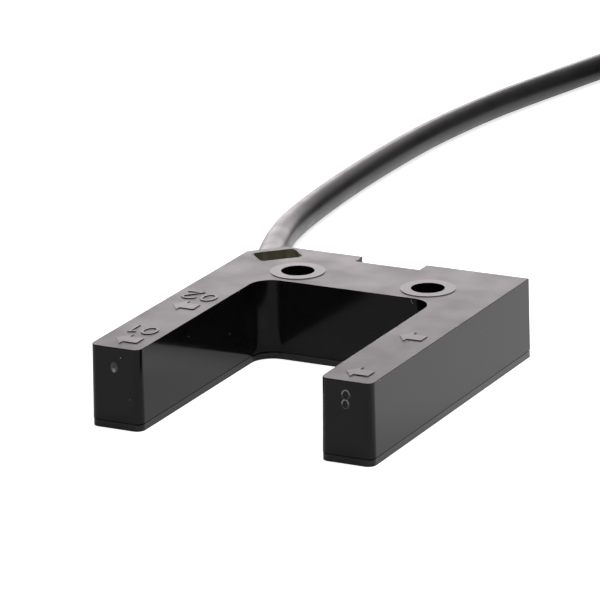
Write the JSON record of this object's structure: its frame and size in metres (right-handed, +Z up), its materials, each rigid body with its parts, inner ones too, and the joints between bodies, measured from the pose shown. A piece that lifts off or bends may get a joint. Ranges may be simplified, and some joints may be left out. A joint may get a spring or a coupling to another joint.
{
  "type": "fork sensor",
  "caption": "Fork-shaped photoelectric sensor: moulded case with a sensing slot, screw holes, an indicator window, a bottom cover, optics on a circuit board and a fixed cable.",
  "frame": {"origin": "middle of the base, at the underside of the bottom cover, without the cable", "axes": "+Z up from the cover to the top face, -Y out of the slot's mouth, +X to the arm with the emitters"},
  "size_m": [0.0729, 0.2174, 0.02],
  "materials": {
    "case": "black moulded plastic that lets infrared through: polished sides, finely textured top",
    "cover": "black moulded plastic, satin",
    "window": "olive tinted clear plastic",
    "bushing": "black elastomer, matt",
    "board": "green solder mask on glass epoxy",
    "emitter": "blue tinted clear resin",
    "receiver": "dark daylight-blocking resin",
    "led_green": "pale green diffused resin",
    "led_orange": "orange diffused resin",
    "package": "black moulding compound",
    "tantalum": "ochre moulding compound",
    "resistor": "black glaze on white ceramic",
    "ceramic": "tan ceramic",
    "core_brown": "brown insulation",
    "core_blue": "blue insulation",
    "core_black": "black insulation",
    "core_white": "white insulation",
    "solder": "bright tin",
    "jacket": "dark grey-black cable jacket, satin",
    "strap": "black woven hook-and-loop strap"
  },
  "bodies": {
    "root": {"case": "case", "bottom_cover": "cover", "indicator_window": "window", "cable_bushing": "bushing", "circuit_board": "board", "emitter_1": "emitter", "emitter_2": "emitter", "receiver_1": "receiver", "receiver_2": "receiver", "indicator_led_1": "led_green", "indicator_led_2": "led_orange", "control_ic": "package", "output_transistor_1": "package", "output_transistor_2": "package", "voltage_regulator": "package", "protection_diode": "package", "bulk_capacitor": "tantalum", "chip_resistors": "resistor", "chip_capacitors": "ceramic", "core_brown": "core_brown", "core_blue": "core_blue", "core_black": "core_black", "core_white": "core_white", "solder_joints": "solder", "cable": "jacket", "cable_coil": "jacket", "cable_end": "jacket", "coil_tie": "strap", "lead_brown": "core_brown", "lead_blue": "core_blue", "lead_black": "core_black", "lead_white": "core_white", "tinned_ends": "solder"}
  },
  "joints": []
}
